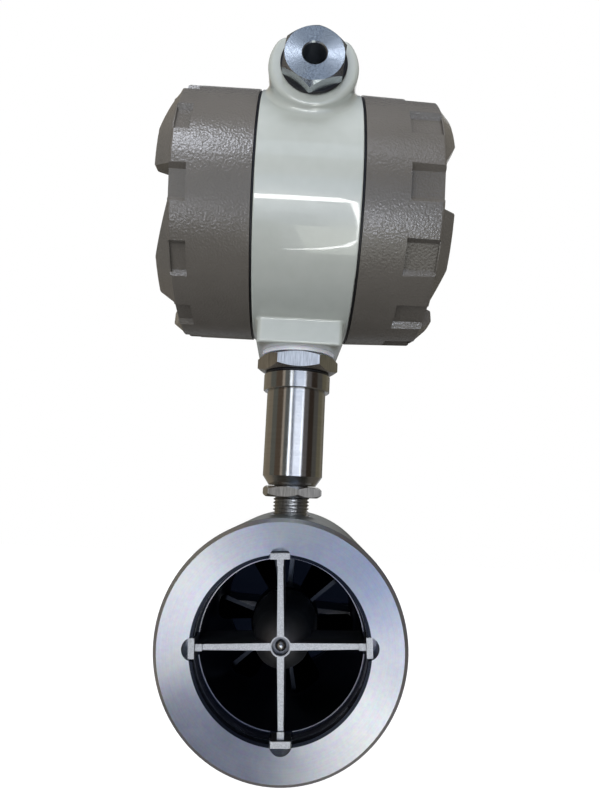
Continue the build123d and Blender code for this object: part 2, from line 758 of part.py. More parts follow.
def make_pieces():
    """Every separate piece by its name, in its place."""
    core, coil, magnet = make_pickup_inside()
    guide = make_guide()
    snap_ring = make_snap_ring()
    dome_screw = make_dome_screw()
    bearing = make_bearing()
    seal = make_cover_seal()
    left_cover = Rot(0, 0, 180) * make_cover(
        left_cover_length, left_cover_draft, left_pocket_length, left_lobe_height, left_lobe_span,
        left_lobe_ramp, 180 - left_cover_turn)
    right_cover = make_cover(
        right_cover_length, right_cover_draft, right_pocket_length, right_lobe_height, right_lobe_span,
        right_lobe_ramp, right_cover_turn)
    pieces = {
        "meter_body": make_meter_body(),
        "inlet_guide": guide,
        "outlet_guide": at_outlet(guide),
        "inlet_snap_ring": snap_ring,
        "outlet_snap_ring": at_outlet(snap_ring),
        "inlet_dome_screw": dome_screw,
        "outlet_dome_screw": at_outlet(dome_screw),
        "inlet_bearing": bearing,
        "outlet_bearing": at_outlet(bearing),
        "rotor": make_rotor(),
        "rotor_shaft": make_shaft(),
        "pickup_housing": make_pickup_housing(),
        "pickup_core": core,
        "pickup_coil": coil,
        "pickup_magnet": magnet,
        "lock_nut": make_lock_nut(),
        "neck_tube": make_neck_tube(),
        "neck_ring": make_neck_ring(),
        "neck_adapter": make_adapter(),
        "ptfe_gasket": make_gasket(),
        "head_body": make_head_body(),
        "left_cover": in_head(left_cover),
        "right_cover": in_head(right_cover),
        "left_cover_seal": in_head(Rot(0, 0, 180) * seal),
        "right_cover_seal": in_head(seal),
        "cable_gland": in_head(make_gland()),
        "gland_seal": in_head(make_entry_seal(-1)),
        "gland_washer": in_head(make_gland_washer()),
        "gland_bush": in_head(make_gland_bush()),
        "blanking_plug": in_head(make_plug()),
        "plug_seal": in_head(make_entry_seal(1)),
        "signal_board": in_head(make_signal_board()),
        "board_parts": [in_head(piece) for piece in make_board_parts()],
        "board_stand_offs": [in_head(piece) for piece in make_stand_offs()],
        "board_screws": [in_head(piece) for piece in make_board_screws()],
        "terminal_block": in_head(make_terminal_block()),
        "terminal_screws": [in_head(piece) for piece in make_terminal_screws()],
        "terminal_fixings": [in_head(piece) for piece in make_terminal_fixings()],
        "earth_screw": [in_head(piece) for piece in make_earth_screw()],
    }
    return pieces


os.makedirs("parts", exist_ok=True)
for name, piece in make_pieces().items():
    solids = piece if isinstance(piece, list) else [piece]
    if len(solids) > 1:
        export_step(Compound(children=[Compound(solid.solids()) for solid in solids]), f"parts/{name}.step")
    else:
        export_step(solids[0], f"parts/{name}.step")
    print(name, round(sum(solid.volume for solid in solids)))
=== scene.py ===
# %% [markdown]
# A turbine flow sensor for a pipe. A short stainless body sits between two pipe
# flanges, a bladed rotor turns inside it, and a painted electronics head stands
# above it on a steel neck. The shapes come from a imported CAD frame. This notebook
# gives each piece the finish of the real one, winds the one thread that shows,
# and then sets up the camera, the light and the room that the steel mirrors.

# %% Load the frame
import json
from math import cos, pi, radians, sin

import bmesh
import bpy
from mathutils import Matrix, Vector

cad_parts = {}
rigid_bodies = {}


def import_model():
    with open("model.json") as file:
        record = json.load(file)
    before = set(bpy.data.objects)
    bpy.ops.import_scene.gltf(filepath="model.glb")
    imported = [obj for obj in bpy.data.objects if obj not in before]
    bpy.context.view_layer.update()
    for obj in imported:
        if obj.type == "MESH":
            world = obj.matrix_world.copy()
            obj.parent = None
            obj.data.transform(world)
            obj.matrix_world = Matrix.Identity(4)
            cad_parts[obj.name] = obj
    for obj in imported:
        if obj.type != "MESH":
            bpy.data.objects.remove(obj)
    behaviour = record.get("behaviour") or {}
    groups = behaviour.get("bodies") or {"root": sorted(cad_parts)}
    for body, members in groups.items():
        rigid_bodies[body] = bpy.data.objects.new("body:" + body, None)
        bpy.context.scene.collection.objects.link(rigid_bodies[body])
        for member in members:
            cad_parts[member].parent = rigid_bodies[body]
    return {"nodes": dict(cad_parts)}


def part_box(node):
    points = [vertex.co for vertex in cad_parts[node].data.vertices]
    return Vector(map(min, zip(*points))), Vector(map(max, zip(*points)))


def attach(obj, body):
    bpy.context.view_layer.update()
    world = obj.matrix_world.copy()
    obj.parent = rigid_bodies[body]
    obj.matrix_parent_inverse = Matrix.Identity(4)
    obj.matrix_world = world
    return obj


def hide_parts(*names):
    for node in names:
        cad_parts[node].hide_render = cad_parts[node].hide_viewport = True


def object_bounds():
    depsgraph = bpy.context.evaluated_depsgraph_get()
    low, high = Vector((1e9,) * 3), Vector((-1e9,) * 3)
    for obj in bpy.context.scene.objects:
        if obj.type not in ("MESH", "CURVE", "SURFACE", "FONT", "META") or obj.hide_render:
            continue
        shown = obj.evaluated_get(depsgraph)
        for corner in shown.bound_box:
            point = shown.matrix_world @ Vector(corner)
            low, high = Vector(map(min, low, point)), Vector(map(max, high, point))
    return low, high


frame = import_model()
cad_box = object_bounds()
nodes = frame["nodes"]
mm = 0.001                   # Blender works in metres here

# %% [markdown]
# Paint and metal colours are easiest to read as the hex values of a colour
# picker. Blender's shaders work in linear light, so one function converts them.
# Its two branches are those of the sRGB standard, which is straight near black.

# %% Colours
def linear(hex_colour):
    """sRGB hex such as "#C0C8C2" as linear red, green, blue and alpha."""
    channels = [int(hex_colour[start:start + 2], 16) / 255 for start in (1, 3, 5)]
    return [c / 12.92 if c <= 0.04045 else ((c + 0.055) / 1.055) ** 2.4 for c in channels] + [1.0]


print("mid grey in linear light:", round(linear("#808080")[0], 3))

# %% [markdown]
# Every finish below is a small node tree. Nodes could be placed by hand in the
# editor, but a script keeps each value next to its reason. One helper adds a
# node, sets its options, and fills its inputs with a value or with another
# node's output. The Mix node repeats its sockets A and B for numbers, vectors
# and colours, so its colour sockets are picked by number.

# %% Node helpers
colour_a, colour_b = 6, 7    # colour inputs of the Mix node
mixed_colour = 2             # its colour output


def fill(tree, node, inputs):
    """Fills inputs of a node, each with a value or with another node's output."""
    for name, value in inputs.items():
        if isinstance(value, bpy.types.NodeSocket):
            tree.links.new(value, node.inputs[name])
        else:
            node.inputs[name].default_value = value


def add_node(tree, kind, inputs=None, **settings):
    """Adds one node. An input is named, or numbered where names repeat."""
    node = tree.nodes.new(kind)
    for name, value in settings.items():
        setattr(node, name, value)
    fill(tree, node, inputs or {})
    return node


print("colour sockets of the Mix node:", colour_a, colour_b)

# %% [markdown]
# A material starts with two things: the Principled shader, which covers metal,
# paint, plastic and rubber alike, and the place on the piece, which every pattern
# is drawn by. Most finishes are then two shades that waver in specks of a real
# size. One noise gives both the specks' height and the blend of the shades, so
# that the light and the colour change together as they do on a real surface.

# %% Material helpers
def empty_material(name):
    """A new material and its empty node tree."""
    material = bpy.data.materials.new(name)
    material.use_nodes = True
    material.node_tree.nodes.clear()
    return material, material.node_tree


def start_material(name):
    """A new material, its node tree, its main shader, and the place on the piece in metres."""
    material, tree = empty_material(name)
    shader = add_node(tree, "ShaderNodeBsdfPrincipled")
    add_node(tree, "ShaderNodeOutputMaterial", {"Surface": shader.outputs["BSDF"]})
    place = add_node(tree, "ShaderNodeTexCoord").outputs["Object"]
    return material, tree, shader, place


def speckle(tree, place, size, detail, dark, light, roughness=0.5):
    """Specks of a real size: their height, and a colour that wavers between two shades."""
    height = add_node(tree, "ShaderNodeTexNoise",
                      {"Vector": place, "Scale": 1 / size, "Detail": detail,
                       "Roughness": roughness}).outputs["Fac"]
    colour = add_node(tree, "ShaderNodeMix",
                      {"Factor": height, colour_a: linear(dark), colour_b: linear(light)},
                      data_type="RGBA").outputs[mixed_colour]
    return {"height": height, "colour": colour}


print("material helpers ready")

# %% [markdown]
# A CAD piece arrives with flat facets. Its round faces are shaded smooth, and its
# real edges stay crisp, because they turn by more than the facets do.

# %% Dressing a piece
edge_angle = 28              # degrees


def dress(material, *names):
    """Gives CAD nodes a material, and shades their round faces smooth."""
    for name in names:
        mesh = nodes[name].data
        mesh.materials.clear()
        mesh.materials.append(material)
        mesh.shade_smooth()
        mesh.set_sharp_from_angle(angle=radians(edge_angle))


print("edges stay sharp above", edge_angle, "degrees")

# %% [markdown]
# The ends of the body are faced on a lathe, which leaves rings of very fine
# grooves round the flow axis. Cutting them into the mesh would take millions of
# faces. Noise that changes only with the distance from the axis gives the same
# rings for nothing. The same distance also tells the bore from the outside.

# %% Distance from an axis
def distance_from_axis(tree, place):
    """Distance from the line along Y through the origin."""
    parts = add_node(tree, "ShaderNodeSeparateXYZ", {"Vector": place}).outputs
    flat = add_node(tree, "ShaderNodeCombineXYZ", {"X": parts["X"], "Z": parts["Z"]})
    distance = add_node(tree, "ShaderNodeVectorMath", {0: flat.outputs["Vector"]},
                        operation="LENGTH")
    return distance.outputs["Value"]


print("body's flow axis runs along Y")

# %% [markdown]
# Real grooves are about 0.1 mm apart. They are drawn at 0.5 mm so that they show,
# and the scuffs of handling are drawn coarser too. Cutting oil leaves faint blue
# and violet patches, which a colour ramp over soft noise gives.

# %% Faced stainless steel: colour
groove_pitch = 0.5 * mm
scuff_size = 1.4 * mm
patch_size = 26 * mm
faced_stainless, tree, shader, place = start_material("faced_stainless_steel")
radius = distance_from_axis(tree, place)
along_flow = add_node(tree, "ShaderNodeSeparateXYZ", {"Vector": place}).outputs["Y"]
ring_place = add_node(tree, "ShaderNodeCombineXYZ", {"X": radius, "Y": along_flow})
grooves = add_node(tree, "ShaderNodeTexNoise",
                   {"Vector": ring_place.outputs["Vector"], "Scale": 1 / groove_pitch,
                    "Detail": 3.0, "Roughness": 0.6})
patches = add_node(tree, "ShaderNodeTexNoise",
                   {"Vector": place, "Scale": 1 / patch_size, "Detail": 4.0, "Roughness": 0.6})
tint = add_node(tree, "ShaderNodeValToRGB", {"Fac": patches.outputs["Fac"]})
blue, pale = tint.color_ramp.elements
blue.position, blue.color = 0.34, linear("#D0D2D8")
pale.position, pale.color = 0.62, linear("#E0E1E2")
violet = tint.color_ramp.elements.new(0.48)
violet.color = linear("#D5D4DE")
grooved = add_node(tree, "ShaderNodeMix",
                   {"Factor": 0.28, colour_a: tint.outputs["Color"],
                    colour_b: grooves.outputs["Color"]},
                   data_type="RGBA", blend_type="OVERLAY")
scuffs = add_node(tree, "ShaderNodeTexNoise",
                  {"Vector": place, "Scale": 1 / scuff_size, "Detail": 3.0, "Roughness": 0.7})
end_face = add_node(tree, "ShaderNodeMix",
                    {"Factor": 0.38, colour_a: grooved.outputs[mixed_colour],
                     colour_b: scuffs.outputs["Color"]},
                    data_type="RGBA", blend_type="OVERLAY")
print("grooves drawn", groove_pitch / mm, "mm apart")

# %% [markdown]
# The bore and its mouth are painted dark grey, a painted shade for the little light
# that gets inside. Only a thin line at the inner edge of the step between them keeps
# the bright colour of the end face, a painted highlight for the light that edge
# catches. The outside of the body is painted a darker grey than its ends, a painted
# shade for the dim room it mirrors. All three lie at known distances from the
# axis, so plain comparisons pick them out and no second material is needed.

# %% Faced stainless steel: bore and outside
bore_line = 32.2 * mm        # the mouth's wall and everything inside it
step_depth = 41.0 * mm       # the step where the mouth meets the bore
step_edge = 30.1 * mm        # the step's inner edge
outside_line = 44.9 * mm     # beyond it is the body's turned outside


def away_from(tree, value, centre, near, far):
    """0 within a distance of a value, and 1 further away."""
    gap = add_node(tree, "ShaderNodeMath", {0: value, 1: centre}, operation="SUBTRACT")
    distance = add_node(tree, "ShaderNodeMath", {0: gap.outputs["Value"]}, operation="ABSOLUTE")
    ramp = add_node(tree, "ShaderNodeMapRange",
                    {"Value": distance.outputs["Value"], "From Min": near, "From Max": far})
    return ramp.outputs["Result"]


# The bore is painted dark grey as painted shade. A thin ring at the step's inner edge keeps the
# bright end-face colour as a painted highlight.
in_bore = add_node(tree, "ShaderNodeMapRange",
                   {"Value": radius, "From Min": bore_line - 0.1 * mm, "From Max": bore_line,
                    "To Min": 1.0, "To Max": 0.0})
depth = add_node(tree, "ShaderNodeMath", {0: along_flow}, operation="ABSOLUTE")
off_edge = add_node(tree, "ShaderNodeMath",
                    {0: away_from(tree, depth.outputs["Value"], step_depth,
                                  near=0.15 * mm, far=0.4 * mm),
                     1: away_from(tree, radius, step_edge, near=0.1 * mm, far=0.25 * mm)},
                    operation="MAXIMUM")
bore_shade = add_node(tree, "ShaderNodeMath",
                {0: in_bore.outputs["Result"], 1: off_edge.outputs["Value"]}, operation="MULTIPLY")
with_bore_shade = add_node(tree, "ShaderNodeMix",
                     {"Factor": bore_shade.outputs["Value"], colour_a: end_face.outputs[mixed_colour],
                      colour_b: linear("#2B2E37")}, data_type="RGBA")
# The outside is painted a darker grey than the ends, a painted shade.
outside = add_node(tree, "ShaderNodeMath", {0: radius, 1: outside_line}, operation="GREATER_THAN")
body_steel = add_node(tree, "ShaderNodeMix",
                      {"Factor": outside.outputs["Value"],
                       colour_a: with_bore_shade.outputs[mixed_colour],
                       colour_b: linear("#8C9090")}, data_type="RGBA")
print("bore inside", bore_line / mm, "mm, outside beyond", outside_line / mm, "mm")

# %% [markdown]
# Turned grooves stretch every highlight across them. The shader's anisotropy
# gives that, with a tangent that runs round the axis and a quarter turn of
# rotation. Oily patches are a little rougher, so they shine less.

# %% Faced stainless steel: shine
groove_depth = 0.04 * mm
wear = add_node(tree, "ShaderNodeMapRange",
                {"Value": patches.outputs["Fac"], "From Min": 0.3, "From Max": 0.7,
                 "To Min": 0.27, "To Max": 0.35})
around = add_node(tree, "ShaderNodeTangent", direction_type="RADIAL", axis="Y")
relief = add_node(tree, "ShaderNodeBump",
                  {"Height": grooves.outputs["Fac"], "Strength": 0.25, "Distance": groove_depth})
fill(tree, shader, {
    "Base Color": body_steel.outputs[mixed_colour], "Metallic": 1.0,
    "Roughness": wear.outputs["Result"], "Anisotropic": 0.85, "Anisotropic Rotation": 0.25,
    "Tangent": around.outputs["Tangent"], "Normal": relief.outputs["Normal"]})
dress(faced_stainless, "meter_body")
print("grooves", groove_depth / mm, "mm deep")

# %% [markdown]
# The guides are investment castings, blasted with glass beads. That leaves an
# even, fine grain with no direction, so the metal looks frosted. Their front
# edges face the camera and the lamps, so they are painted far brighter, a painted
# highlight, and the rest is painted darker, a painted shade. Those edges are the
# only faces that look along the flow, so the surface's own direction finds them.

# %% Faces that look along the flow
def facing_ends(tree):
    """1 where a surface faces along the flow axis, 0 elsewhere."""
    normal = add_node(tree, "ShaderNodeNewGeometry").outputs["True Normal"]
    along = add_node(tree, "ShaderNodeSeparateXYZ", {"Vector": normal}).outputs["Y"]
    size = add_node(tree, "ShaderNodeMath", {0: along}, operation="ABSOLUTE").outputs["Value"]
    ramp = add_node(tree, "ShaderNodeMapRange", {"Value": size, "From Min": 0.93, "From Max": 0.98})
    return ramp.outputs["Result"]


print("end faces found by their direction")

# %% [markdown]
# Bead marks are 0.1 to 0.2 mm wide, and are drawn at 0.45 mm. The round nose also
# faces along the flow at its tip, but a small disc round the axis is kept out of
# the painted highlight.

# %% Blasted cast stainless steel
bead_mark = 0.45 * mm
bead_depth = 0.15 * mm
cloud_size = 6 * mm          # soft changes of tone in the casting's skin
nose_inner = 3.0 * mm        # no bright part nearer to the axis than this
nose_outer = 3.5 * mm        # all of it further out than this
cast_stainless, tree, shader, place = start_material("blasted_cast_stainless_steel")
grain = speckle(tree, place, bead_mark, 3.0, "#9A9B9D", "#F4F4F4", roughness=0.65)
# The skin's two greys are painted dark, a painted shade on all but the end faces.
skin = speckle(tree, place, cloud_size, 2.0, "#747578", "#9C9DA1")
radius = distance_from_axis(tree, place)
off_nose = add_node(tree, "ShaderNodeMapRange",
                    {"Value": radius, "From Min": nose_inner, "From Max": nose_outer})
# The end faces take the bright grain colour, a painted highlight.
lit_ends = add_node(tree, "ShaderNodeMath",
                  {0: facing_ends(tree), 1: off_nose.outputs["Result"]}, operation="MULTIPLY")
shade = add_node(tree, "ShaderNodeMix",
                 {"Factor": lit_ends.outputs["Value"], colour_a: skin["colour"],
                  colour_b: grain["colour"]}, data_type="RGBA")
relief = add_node(tree, "ShaderNodeBump",
                  {"Height": grain["height"], "Strength": 0.7, "Distance": bead_depth})
fill(tree, shader, {
    "Base Color": shade.outputs[mixed_colour], "Metallic": 1.0, "Roughness": 0.5,
    "Normal": relief.outputs["Normal"]})
dress(cast_stainless, "inlet_guide", "outlet_guide")
print("bead marks", bead_mark / mm, "mm wide")

# %% [markdown]
# The rotor has to be magnetic for the pickup to see its blades, so it is a dull
# ferritic stainless steel, ground smooth and left unpolished. The wheel leaves
# long marks along the blades, which noise stretched along the flow gives. Its
# colour is painted near black, a painted shade for the dark bore around it, and
# its end faces are painted lighter, a painted highlight.

# %% Ground ferritic steel
grinding_line = 0.3 * mm     # real lines are 0.1 mm wide, too fine to show
grinding_depth = 0.03 * mm
rotor_steel, tree, shader, place = start_material("ground_ferritic_steel")
stretched = add_node(tree, "ShaderNodeMapping", {"Vector": place, "Scale": (1.0, 0.15, 1.0)})
lines = speckle(tree, stretched.outputs["Vector"], grinding_line, 2.0, "#1C1E23", "#2B2D33")
# The near-black lines are painted shade, and the lighter end-face colour is a painted highlight.
shade = add_node(tree, "ShaderNodeMix",
                 {"Factor": facing_ends(tree), colour_a: lines["colour"],
                  colour_b: linear("#4A4C51")}, data_type="RGBA")
relief = add_node(tree, "ShaderNodeBump",
                  {"Height": lines["height"], "Strength": 0.2, "Distance": grinding_depth})
fill(tree, shader, {
    "Base Color": shade.outputs[mixed_colour], "Metallic": 1.0, "Roughness": 0.42,
    "Normal": relief.outputs["Normal"]})
dress(rotor_steel, "rotor")
print("grinding lines", grinding_line / mm, "mm wide")

# %% [markdown]
# The neck tube is turned and then polished, so it mirrors its surroundings in
# tall stripes. A trace of the turning remains as rings too shallow to feel, and
# they blur each stripe a little up and down. Noise that changes along the tube
# and hardly across it makes the rings. They are drawn 0.4 mm apart to show.

# %% Polished stainless steel
turning_pitch = 0.4 * mm
turning_depth = 0.01 * mm
haze_size = 4.5 * mm         # soft changes in how well the polish came out
polished_stainless, tree, shader, place = start_material("polished_stainless_steel")
rings = add_node(tree, "ShaderNodeMapping", {"Vector": place, "Scale": (0.02, 0.02, 1.0)})
marks = speckle(tree, rings.outputs["Vector"], turning_pitch, 2.0, "#B0B0AF", "#C6C7C8")
haze = add_node(tree, "ShaderNodeTexNoise",
                {"Vector": place, "Scale": 1 / haze_size, "Detail": 3.0})
sheen = add_node(tree, "ShaderNodeMapRange",
                 {"Value": haze.outputs["Fac"], "From Min": 0.35, "From Max": 0.7,
                  "To Min": 0.18, "To Max": 0.23})
relief = add_node(tree, "ShaderNodeBump",
                  {"Height": marks["height"], "Strength": 0.1, "Distance": turning_depth})
around = add_node(tree, "ShaderNodeTangent", direction_type="RADIAL", axis="Z")
fill(tree, shader, {
    "Base Color": marks["colour"], "Metallic": 1.0, "Roughness": sheen.outputs["Result"],
    "Anisotropic": 0.9, "Anisotropic Rotation": 0.25, "Tangent": around.outputs["Tangent"],
    "Normal": relief.outputs["Normal"]})
dress(polished_stainless, "neck_tube", "inlet_dome_screw", "outlet_dome_screw", "rotor_shaft")
print("turning rings drawn", turning_pitch / mm, "mm apart")

# %% [markdown]
# Hexagon bar is drawn through a die, so its flats carry fine lines along the bar.
# It is clean but not polished. The lock nut, the neck's adapter and the pickup's
# thread are all cut from such bar. An image of brushed steel could be wrapped
# round them, but noise stretched along Z gives the lines and never repeats.

# %% Drawn hexagon bar
drawing_line = 0.35 * mm     # real lines are 0.1 mm wide, too fine to show
drawing_depth = 0.03 * mm
nut_stainless, tree, shader, place = start_material("drawn_stainless_bar")
stretched = add_node(tree, "ShaderNodeMapping", {"Vector": place, "Scale": (1.0, 1.0, 0.06)})
lines = speckle(tree, stretched.outputs["Vector"], drawing_line, 3.0, "#50504E", "#E8E8E6")
relief = add_node(tree, "ShaderNodeBump",
                  {"Height": lines["height"], "Strength": 0.3, "Distance": drawing_depth})
fill(tree, shader, {
    "Base Color": lines["colour"], "Metallic": 1.0, "Roughness": 0.3,
    "Normal": relief.outputs["Normal"]})
dress(nut_stainless, "lock_nut", "neck_adapter", "pickup_housing")
print("drawing lines", drawing_line / mm, "mm wide")

# %% [markdown]
# The gland's face was turned with a pointed tool. The tool leaves a spiral, and a
# spiral groove throws narrow fans of light out from the middle. A real spiral
# would be far too fine to draw, so strong anisotropy round the gland's own axis
# gives the fans. Grit that the tool tore out makes the face sparkle.

# %% Turned gland face
spiral_pitch = 0.25 * mm     # coarser than the real one, so that it shows
spiral_depth = 0.03 * mm
grit_size = 0.45 * mm        # coarser than the real torn grains, too
gland_stainless, tree, shader, place = start_material("turned_stainless_gland")
gland_low, gland_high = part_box("cable_gland")
gland_middle = (gland_low + gland_high) / 2
shifted = add_node(tree, "ShaderNodeVectorMath", {0: place, 1: gland_middle}, operation="SUBTRACT")
radius = distance_from_axis(tree, shifted.outputs["Vector"])
spiral_place = add_node(tree, "ShaderNodeCombineXYZ", {"X": radius}).outputs["Vector"]
spiral = add_node(tree, "ShaderNodeTexNoise",
                  {"Vector": spiral_place, "Scale": 1 / spiral_pitch, "Detail": 2.0})
grit = speckle(tree, place, grit_size, 3.0, "#747D85", "#E8EEF2")
relief = add_node(tree, "ShaderNodeBump",
                  {"Height": spiral.outputs["Fac"], "Strength": 0.25, "Distance": spiral_depth})
around = add_node(tree, "ShaderNodeTangent", direction_type="RADIAL", axis="Y")
fill(tree, shader, {
    "Base Color": grit["colour"], "Metallic": 1.0, "Roughness": 0.27, "Anisotropic": 0.9,
    "Anisotropic Rotation": 0.25, "Tangent": around.outputs["Tangent"],
    "Normal": relief.outputs["Normal"]})
dress(gland_stainless, "cable_gland", "blanking_plug")
print("spiral drawn", spiral_pitch / mm, "mm apart")

# %% [markdown]
# The middle of the head is cast aluminium under a light grey-green stoving
# enamel. Enamel flows before it sets, so it is glossy and nearly flat, and long
# soft waves are left in it, with a faint orange peel on top. A clear coat over a
# rougher paint layer gives its depth: the coat mirrors, the paint stays soft.

# %% Stoving enamel
flow_wave = 5.0 * mm
peel_size = 1.4 * mm
wave_height = 0.12 * mm
light_enamel, tree, shader, place = start_material("light_stoving_enamel")
waves = speckle(tree, place, flow_wave, 1.0, "#B6BCB5", "#BFC4BE")
peel = add_node(tree, "ShaderNodeTexNoise",
                {"Vector": place, "Scale": 1 / peel_size, "Detail": 1.0})
height = add_node(tree, "ShaderNodeMath",
                  {0: waves["height"], 1: peel.outputs["Fac"]}, operation="ADD")
relief = add_node(tree, "ShaderNodeBump",
                  {"Height": height.outputs["Value"], "Strength": 0.17, "Distance": wave_height})
fill(tree, shader, {
    "Base Color": waves["colour"], "IOR": 1.5, "Roughness": 0.3, "Normal": relief.outputs["Normal"],
    "Coat Weight": 1.0, "Coat Roughness": 0.035})
dress(light_enamel, "head_body")
print("enamel waves", flow_wave / mm, "mm long")

# %% [markdown]
# Both covers are cast aluminium with a baked powder coat. Powder melts into a
# skin of small round bumps, like the peel of an orange, about 1 mm across. The
# bumps break the highlights into sparkles. A bump map is enough for them, since
# they are too low to change the outline.

# %% Taupe powder coat
bump_size = 0.9 * mm
bump_height = 0.25 * mm
tone_size = 17 * mm          # soft changes in the thickness of the coat
taupe_coat, tree, shader, place = start_material("taupe_powder_coat")
bumps = add_node(tree, "ShaderNodeTexNoise",
                 {"Vector": place, "Scale": 1 / bump_size, "Detail": 1.5, "Roughness": 0.4})
tones = speckle(tree, place, tone_size, 2.0, "#605C56", "#6A6660")
relief = add_node(tree, "ShaderNodeBump",
                  {"Height": bumps.outputs["Fac"], "Strength": 0.7, "Distance": bump_height})
fill(tree, shader, {
    "Base Color": tones["colour"], "IOR": 1.5, "Roughness": 0.25,
    "Normal": relief.outputs["Normal"]})
dress(taupe_coat, "left_cover", "right_cover")
print("powder bumps", bump_size / mm, "mm across")

# %% [markdown]
# The gasket between the adapter and the head is pure PTFE, skived from a block
# with a broad knife. It is white and waxy, and light goes half a millimetre into
# it. White alone would look like paint, so a little subsurface scattering
# softens it.

# %% PTFE gasket
skive_mark = 1.1 * mm
skive_depth = 0.03 * mm
light_reach = 0.5 * mm
white_ptfe, tree, shader, place = start_material("white_ptfe_sheet")
marks = speckle(tree, place, skive_mark, 2.0, "#F0F2FC", "#FAFBFF")
relief = add_node(tree, "ShaderNodeBump",
                  {"Height": marks["height"], "Strength": 0.15, "Distance": skive_depth})
fill(tree, shader, {
    "Base Color": marks["colour"], "IOR": 1.36, "Roughness": 0.45, "Subsurface Weight": 0.15,
    "Subsurface Scale": light_reach, "Normal": relief.outputs["Normal"]})
dress(white_ptfe, "ptfe_gasket")
print("light goes", light_reach / mm, "mm into the gasket")

# %% [markdown]
# The seals and the cable's bush are black nitrile rubber, moulded and dusted with
# talc against sticking. The dust keeps rubber from looking fully black, so two
# near blacks waver over it.

# %% Nitrile rubber seals
talc_speck = 0.8 * mm        # clumps of dust, since single grains wouldn't show
black_rubber, tree, shader, place = start_material("black_nitrile_rubber")
talc = speckle(tree, place, talc_speck, 3.0, "#0D0E12", "#222329")
fill(tree, shader, {"Base Color": talc["colour"], "IOR": 1.52, "Roughness": 0.42})
dress(black_rubber, "neck_ring", "left_cover_seal", "right_cover_seal", "gland_seal", "plug_seal",
      "gland_bush")
print("talc specks", talc_speck / mm, "mm wide")

# %% [markdown]
# The snap rings are spring steel, blued by heat treatment. The pickup's magnet
# and iron core have a dark skin much like it. Heat leaves a thin scale of uneven
# tone, so two greys waver in patches where one would look painted.

# %% Blued spring steel
scale_patch = 1.7 * mm
spring_steel, tree, shader, place = start_material("blued_spring_steel")
scale = speckle(tree, place, scale_patch, 2.0, "#6B6E76", "#9A9DA3")
fill(tree, shader, {"Base Color": scale["colour"], "Metallic": 1.0, "Roughness": 0.3})
dress(spring_steel, "inlet_snap_ring", "outlet_snap_ring", "pickup_core", "pickup_magnet")
print("scale patches", scale_patch / mm, "mm wide")

# %% [markdown]
# Nothing inside the head shows while its covers are on, but the covers unscrew.
# The board is glass cloth in epoxy under green solder mask. The cloth's weave
# shows through the mask as fine bands about 1 mm apart. Blender's wave texture
# repeats every pi / 10 of its own units, so its scale follows from the weave.

# %% Green solder mask
wave_period = pi / 10
weave_pitch = 1.0 * mm
solder_mask, tree, shader, place = start_material("green_solder_mask")
weave = add_node(tree, "ShaderNodeTexWave",
                 {"Vector": place, "Scale": wave_period / weave_pitch, "Distortion": 1.0},
                 bands_direction="Z")
shade = add_node(tree, "ShaderNodeMix",
                 {"Factor": weave.outputs["Fac"], colour_a: linear("#0F4A2B"),
                  colour_b: linear("#155935")}, data_type="RGBA")
fill(tree, shader, {"Base Color": shade.outputs[mixed_colour], "IOR": 1.55, "Roughness": 0.3})
dress(solder_mask, "signal_board")
print("weave", weave_pitch / mm, "mm apart")

# %% [markdown]
# The board's parts and the rotor's bearings are moulded from black plastic. The
# mould was cut by sparks, which leave a fine even pitting on whatever it moulds.

# %% Moulded black plastic
spark_pit = 0.5 * mm         # coarser than the real pits, so that they show
pit_depth = 0.03 * mm
black_plastic, tree, shader, place = start_material("moulded_black_plastic")
pits = add_node(tree, "ShaderNodeTexNoise",
                {"Vector": place, "Scale": 1 / spark_pit, "Detail": 2.0})
relief = add_node(tree, "ShaderNodeBump",
                  {"Height": pits.outputs["Fac"], "Strength": 0.2, "Distance": pit_depth})
fill(tree, shader, {
    "Base Color": linear("#1B1C1E"), "IOR": 1.55, "Roughness": 0.45,
    "Normal": relief.outputs["Normal"]})
dress(black_plastic, "board_parts", "inlet_bearing", "outlet_bearing")
print("spark pits", spark_pit / mm, "mm wide")

# %% [markdown]
# The terminal block is moulded from green polyamide in the same kind of mould.
# Polyamide is a little cloudy, so here the colour wavers and the surface stays
# smooth.

# %% Moulded green plastic
green_plastic, tree, shader, place = start_material("moulded_green_plastic")
clouding = speckle(tree, place, spark_pit, 2.0, "#2F7A4B", "#378555")
fill(tree, shader, {"Base Color": clouding["colour"], "IOR": 1.53, "Roughness": 0.4})
dress(green_plastic, "terminal_block")
print("terminal block dressed")

# %% [markdown]
# The small screws and stand-offs are brass with nickel plating. Where a tool has
# rubbed, the plating is thin and the brass warms it.

# %% Nickel plated brass
rub_mark = 1.1 * mm
plated_brass, tree, shader, place = start_material("nickel_plated_brass")
rubs = speckle(tree, place, rub_mark, 2.0, "#B8B2A2", "#D2CDBF")
fill(tree, shader, {"Base Color": rubs["colour"], "Metallic": 1.0, "Roughness": 0.25})
dress(plated_brass, "board_stand_offs", "board_screws", "terminal_screws", "terminal_fixings",
      "earth_screw", "gland_washer")
print("rub marks", rub_mark / mm, "mm wide")

# %% [markdown]
# The pickup's coil is wound from enamelled copper wire 0.2 mm thick. A wave
# texture across the winding stands for its turns, since the coil is buried in the
# neck and a wound mesh would never be seen.

